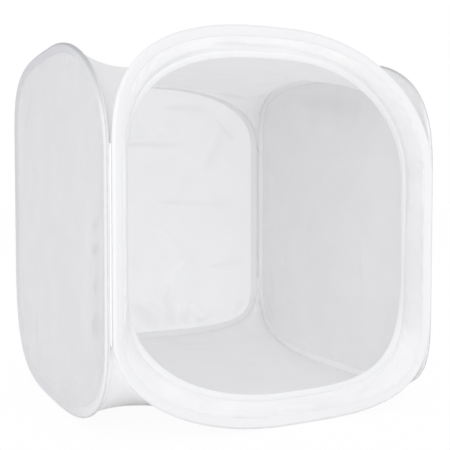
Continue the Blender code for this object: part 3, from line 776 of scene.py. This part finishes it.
def sweepAlong(name, section, material, wave=0.0, span=None, seed=0):
    # a section carried along the edge of the opening, all round or over a span with closed ends
    picked = np.arange(len(edge)) if span is None else np.asarray(span) % len(edge)
    size, points, faces = len(section), [], []
    wander = np.sin(run * 2 * math.pi / hem["puckerLength"] + seed) * np.sin(run * 31 + 2 * seed)
    for k in picked:
        for outwards, inwards in section:
            lift = wave * wander[k] * (outwards / hem["width"] if outwards > 0 else 0)
            points.append(edge[k] + outwards * over[k] + (inwards + lift) * inner[k])
    rows = len(picked)
    for i in range(rows if span is None else rows - 1):
        here, there = i * size, (i + 1) % rows * size
        faces += [(here + k, here + (k + 1) % size, there + (k + 1) % size, there + k) for k in range(size)]
    if span is not None:
        faces += [tuple(reversed(range(size))), tuple(range((rows - 1) * size, rows * size))]
    piece = meshPiece(name, points, faces, material)
    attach(piece, "front_frame")
    squashFront(piece)
    return piece


def hemSection():
    # tape folded over the edge of the border, with two legs that close on it
    width, near, far, fold = hem["width"], hem["slit"], hem["slit"] + hem["tape"], hem["fold"]
    wide, slim, tip = hem["edge"]
    bend = [(fold - hem["tape"] * math.sin(a), far * math.cos(a)) for a in np.linspace(0, math.pi, 7)]
    closed = [(width, tip), (width, slim), (width - hem["thinning"], wide), (width * 0.6, far)]
    hollowEnd = width - hem["hollowEnd"]
    inside = [(hollowEnd, -near), (fold, -near), (fold, near), (hollowEnd, near)]
    return closed + bend + [(x, -y) for x, y in reversed(closed)] + inside


borderCloth()
openingHem = sweepAlong("hemTape", hemSection(), tapes["hem"], hem["pucker"], seed=1)
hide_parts("opening_hem")
low, high, wide, soft = strip["low"], strip["low"] + strip["thick"], strip["width"], strip["edge"]
pile = [(0.0, low), (0.0, high - soft), (soft, high), (wide / 2, high + strip["crown"]), (wide - soft, high),
        (wide, high - soft), (wide, low)]
# the strips end near the middles of the corners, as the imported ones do
angle = np.arctan2(edge[:, 2] - tent["height"] / 2, edge[:, 0])
corners = [int(np.abs(angle - math.radians(a)).argmin()) for a in strip["corners"]]
spans = {"top": (corners[0], corners[1]), "left": (corners[1], corners[2]),
         "bottom": (corners[2], corners[3]), "right": (corners[3], corners[0])}
for side, (start, stop) in spans.items():
    stop = stop if stop > start else stop + len(edge)
    ribbon = sweepAlong(side + "CoverStrip", pile, pileLoop, span=range(start + 2, stop - 1))
    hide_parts("cover_strip_" + side)
rows = [edge + over * far - inner * (hem["slit"] + hem["tape"]) for far in hem["stitchRows"]]
hemStitches = sew("hemStitches", rows, "front_frame", seeds["hemStitches"])
squashFront(hemStitches)
print("light tent: border, hem and strips made")

# The roof and the floor: one taut cloth each, in four quarters that fold away with their hoops.
caps = {
    "steps": 96, "coarsest": 12, "rounds": 700, "edgeInset": 0.0040, "stitchInset": 0.0045, "cordInset": 0.0023,
    "load": 0.0005, "loadSteps": 20, "lowest": 0.0007,   # how the floor sags, and how high its middle lies
    "freeOver": 0.06, "waveSize": 0.20, "foldInset": 0.0025,
    # puckers every 21 mm along the edges, placed by shares of the cloth's side
    "puckers": (2 * math.pi / 0.021, 2.2, 19, 0.5, 37), "pucker": 0.0007,
    "puckerAt": 0.035, "puckerWidth": 0.022,
    "roof": {"level": 0, "area": 0.095, "waves": 0.0012, "seed": 21, "creases": (
        (-200, -120, 100, -50, 12, 2.2), (100, 180, 240, 200, 8, -2.2), (20, 100, 200, -60, 12, 1.8),
        (-220, 50, -50, 210, 10, 1.8))},
    "floor": {"level": 1, "area": 0.095, "waves": 0.0010, "seed": 22, "creases": (
        (10, 265, 120, 212, 6, 3), (-50, 220, 50, 240, 6, 2.2), (-100, -120, 50, -160, 8, 2),
        (180, -50, 240, 120, 7, 2.6), (140, -200, 220, -150, 8, 2.4), (-200, 20, -120, 100, 9, 2))},
}


def seamPoint(seam, level, inset=0.0):
    # an end of an upright seam, the top one at level 0, or a point that much nearer to the middle
    across, deep = -1 if seam.endswith("Left") else 1, -1 if seam.startswith("front") else 1
    rise = seamCorner[seam][level] * hoopRise
    height = tent["hoopHigh"] - rise if level == 0 else tent["hoopLow"] + rise
    return np.array((across * (tent["hinge"][0] - inset), deep * (tent["hinge"][1] - inset), height))


def capEdges(level, steps):
    sides = {}
    for name, hoop in hoops.items():
        flat, _ = hoopOutline(name, steps // 2)
        chain = flat[:steps + 1][::-1] if level == 0 else flat[steps + 1:]
        spots = stand(name, chain, caps["edgeInset"])
        spots[0], spots[-1] = [seamPoint(hoop[end], level, caps["cordInset"]) for end in ("low", "high")]
        sides[name] = spots
    return sides


def tautGrid(level):
    # relaxed from coarse to fine, so that a small grid carries the long reach of the pull
    steps, grid, edges = caps["steps"], None, capEdges(level, caps["steps"])
    while steps % 2 == 0 and steps > caps["coarsest"]:
        steps //= 2
    while steps <= caps["steps"]:
        sides = {name: spots[::caps["steps"] // steps] for name, spots in edges.items()}
        size = steps + 1
        if grid is None:
            share = np.linspace(0, 1, size)[:, None]
            grid = np.zeros((size, size, 3))
            for i in range(size):
                across = i / steps
                row = (1 - across) * sides["left"] + across * sides["right"]
                ends = (1 - share) * row[0] + share * row[-1]
                grid[i] = row - ends + (1 - share) * sides["front"][i] + share * sides["back"][i]
        else:
            finer = np.zeros((size, size, 3))
            finer[::2, ::2] = grid
            finer[1::2, ::2] = (grid[1:] + grid[:-1]) / 2
            finer[:, 1::2] = (finer[:, :-1:2] + finer[:, 2::2]) / 2
            grid = finer
        grid[0, :], grid[-1, :] = sides["left"], sides["right"]
        grid[:, 0], grid[:, -1] = sides["front"], sides["back"]
        # the same sag on every grid
        load = caps["load"] * (caps["loadSteps"] / steps) ** 2 if level == 1 else 0
        for _ in range(caps["rounds"]):
            mean = (grid[:-2, 1:-1] + grid[2:, 1:-1] + grid[1:-1, :-2] + grid[1:-1, 2:]) / 4
            mean[:, :, 2] = np.maximum(mean[:, :, 2] - load, caps["lowest"])
            grid[1:-1, 1:-1] = mean
        steps *= 2
    return grid


def capQuarter(i, j, steps):
    # which hoop a place on the cloth belongs to, split along its two diagonals
    if j < i:
        return "front" if i + j < steps else "right"
    return "left" if i + j < steps else "back"


def gridNormals(grid):
    return unit(np.cross(np.gradient(grid, axis=0), np.gradient(grid, axis=1)))


def capCloth(kind):
    look, steps = caps[kind], caps["steps"]
    grid = tautGrid(look["level"])
    size = steps + 1
    normal = gridNormals(grid)
    flat = grid[:, :, :2].reshape(-1, 2)
    lines = np.linspace(0, 1, size)
    near = np.minimum(lines, 1 - lines)
    rim = np.minimum(near[:, None], near[None, :])
    free = (rim / caps["freeOver"]).clip(0, 1) ** 1.5
    waves = look["waves"] * gentleWaves(flat, caps["waveSize"], look["seed"])
    rise = (creaseField(flat, look["creases"]) + waves).reshape(size, size)
    # painted shade in the grooves of the creases
    shaded = paintedCreaseShade(flat, look["creases"]) * free.ravel()
    # short puckers that run in from the sewn edges
    along = np.where(near[:, None] < near[None, :], grid[:, :, 1], grid[:, :, 0])
    band = np.exp(-((rim - caps["puckerAt"]) / caps["puckerWidth"]) ** 2)
    rise = rise * free + caps["pucker"] * unevenRipple(along, *caps["puckers"]) * band
    if look["level"] == 1:
        rise = np.maximum(rise, -(grid[:, :, 2] - caps["lowest"]).clip(0))
    grid = grid + normal * rise[:, :, None]
    quarters = {name: [] for name in hoops}
    for i in range(steps):
        for j in range(steps):
            # a cell, or its two halves on a diagonal, each with the corners and a place inside it
            a, b, c, d = (i, j), (i + 1, j), (i + 1, j + 1), (i, j + 1)
            if i == j:
                cells = [((a, b, c), (i + 0.6, j + 0.3)), ((a, c, d), (i + 0.3, j + 0.6))]
            elif i + j == steps - 1:
                cells = [((a, b, d), (i + 0.3, j + 0.3)), ((b, c, d), (i + 0.7, j + 0.7))]
            else:
                cells = [((a, b, c, d), (i + 0.5, j + 0.5))]
            for corners, centre in cells:
                quarters[capQuarter(*centre, steps)].append([p * size + q for p, q in corners])
    places, directions = grid.reshape(-1, 3), gridNormals(grid).reshape(-1, 3)
    for name, faces in quarters.items():
        used = sorted({k for face in faces for k in face})
        where = {k: n for n, k in enumerate(used)}
        cloth = meshPiece(kind + "Cloth_" + name, places[used], [[where[k] for k in face] for face in faces],
                          nylons[kind], flat[used], shaded[used])
        cloth.data.normals_split_custom_set_from_vertices([tuple(v) for v in directions[used]])
        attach(cloth, hoops[name]["body"])
        foldAway(cloth)
        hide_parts(kind + "_panel")
    return grid


def foldAway(piece):
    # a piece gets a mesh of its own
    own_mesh(piece)


def capStitches(kind, grid):
    # the row that sews the cloth to each sleeve, on both faces of the cloth, clear of the seam cords
    lines = {"left": grid[1, :], "right": grid[-2, :], "front": grid[:, 1], "back": grid[:, -2]}
    rims = {"left": grid[0, :], "right": grid[-1, :], "front": grid[:, 0], "back": grid[:, -1]}
    halfThick, spared = 0.0003, 3
    for number, name in enumerate(hoops):
        inwards = unit(lines[name] - rims[name])
        row = rims[name] + caps["stitchInset"] * inwards
        face = unit(np.cross(np.gradient(row, axis=0), inwards))
        face *= np.sign(face[len(face) // 2, 2])
        rows = [(row + face * far)[spared:-spared] for far in (halfThick, -halfThick)]
        seed = seeds["capStitches"] + number
        piece = sew(kind + "Stitches_" + name, rows, hoops[name]["body"], seed, closed=False)
        foldAway(piece)


for kind in ("roof", "floor"):
    capStitches(kind, capCloth(kind))
print("light tent: roof and floor stretched")

# Upright seams: three strands laid round each other where two sleeves meet.
cords = {"strands": 3, "lay": 0.00095, "strand": 0.00100, "turnLength": 0.0085, "overrun": 0.012}
seams = {"front_left": ("frontLeft", "front_frame"), "front_right": ("frontRight", "front_frame"),
         "back_left": ("backLeft", "left_wall"), "back_right": ("backRight", "back_wall")}
for node, (seam, body) in seams.items():
    beyond = np.array((0, 0, cords["overrun"]))
    top, bottom = seamPoint(seam, 0) + beyond, seamPoint(seam, 1) - beyond
    length = float(top[2] - bottom[2])
    values = {"Length": length, "Turns": length / cords["turnLength"], "Strands": cords["strands"],
              "Lay Radius": cords["lay"], "Strand Radius": cords["strand"], "Material": seamCord}
    host = pathHost("seamHost", [[(0, 0, 0), (0, 0, 0.01)]], False)
    cord = grow("seamCord_" + node, host, twistedCord, values, Matrix.Translation(bottom))
    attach(cord, body)
    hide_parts("seam_" + node)
print("light tent: seam cords laid")

# The hoops and their crimped tubes stay as imported, with steel on them.
for name in hoops:
    for part, steel in (("_wire", springSteel), ("_ferrule", crimpSteel)):
        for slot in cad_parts[name + part].material_slots:
            slot.material = steel
print("light tent: steel finished")

# Floor, light and camera.
studio = {"floor": "#F8F8F8", "floorSize": 14.0, "floorLow": -0.0004, "world": 0.92, "floorSeen": 0.95}


def seenDirectly(add):
    # 1 for what is looked at, or seen in gloss or through cloth, and 0 for what only lights
    rays = add("LightPath").outputs
    mirrored = add("Math", {0: rays["Is Camera Ray"], 1: rays["Is Glossy Ray"]}, operation="MAXIMUM")
    return add("Math", {0: mirrored, 1: rays["Is Transmission Ray"]}, operation="MAXIMUM")


def studioFloor():
    # flat white paint, which looks nearly white and keeps the tent's shadow
    material, add = newMaterial("paintedStudioFloor")
    grain = add("TexNoise", {"Scale": 40.0, "Detail": 2.0})
    rough = add("MapRange", {"Value": grain, "To Min": 0.8, "To Max": 0.95})
    paint = add("BsdfPrincipled", {"Base Color": linear(studio["floor"]), "Roughness": rough,
            "Specular IOR Level": 0.1})
    amount = add("Math", {0: seenDirectly(add), 1: studio["floorSeen"]}, operation="MULTIPLY")
    glow = add("Emission", {"Color": (1, 1, 1, 1), "Strength": 1.0})
    add("OutputMaterial", {"Surface": add("MixShader", {0: amount, 1: paint, 2: glow})})
    half, low = studio["floorSize"], studio["floorLow"]
    corners = [(x * half, y * half, low) for x, y in ((-1, -1), (1, -1), (1, 1), (-1, 1))]
    floor = meshPiece("studioFloor", corners, [(0, 1, 2, 3)], material)
    floor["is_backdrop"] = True


studioFloor()
world = bpy.data.worlds.new("studioWorld")
bpy.context.scene.world = world
world.use_nodes = True
world.node_tree.nodes.clear()
add = nodeAdder(world.node_tree)
dome = add("Background", {"Color": (1, 1, 1, 1), "Strength": studio["world"]})
white = add("Background", {"Color": (1, 1, 1, 1), "Strength": 1.0})
add("OutputWorld", {"Surface": add("MixShader", {0: seenDirectly(add), 1: dome, 2: white})})

lamps = {
    "frontLamp": {"place": (-0.5, -3.0, 1.0), "size": 1.4, "watts": 2.5},
    "sideLamp": {"place": (-2.4, -1.9, 1.0), "size": 2.0, "watts": 13.0},
    "highLamp": {"place": (-0.1, -2.1, 1.9), "size": 1.4, "watts": 6.0},
    "backLamp": {"place": (0.5, 2.6, 1.2), "size": 2.0, "watts": 10.0},
}
view = {"place": (-0.609, -1.301, 0.356), "turn": 26.61, "tilt": -2.44, "lens": 61.9}


def hang(name, data, place, aim):
    # a lamp or a camera at its place, turned to look along aim
    holder = newObject(name, data)
    holder.location = place
    holder.rotation_mode = "QUATERNION"
    holder.rotation_quaternion = aim.to_track_quat("-Z", "Y")
    return holder


for name, look in lamps.items():
    lamp = bpy.data.lights.new(name, "AREA")
    lamp.size, lamp.energy = look["size"], look["watts"]
    hang(name, lamp, look["place"], Vector((0, 0, tent["height"] / 2)) - Vector(look["place"]))

camera = bpy.data.cameras.new("tentCamera")
camera.lens, camera.sensor_width = view["lens"], 36.0
camera.clip_start, camera.clip_end = 0.05, 60.0
turn, tilt = math.radians(view["turn"]), math.radians(view["tilt"])
ahead = Vector((math.sin(turn) * math.cos(tilt), math.cos(turn) * math.cos(tilt), math.sin(tilt)))
bpy.context.scene.camera = hang("tentCamera", camera, view["place"], ahead)
bpy.context.scene.view_settings.view_transform = "Standard"

low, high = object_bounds()
print("light tent: camera and light set")
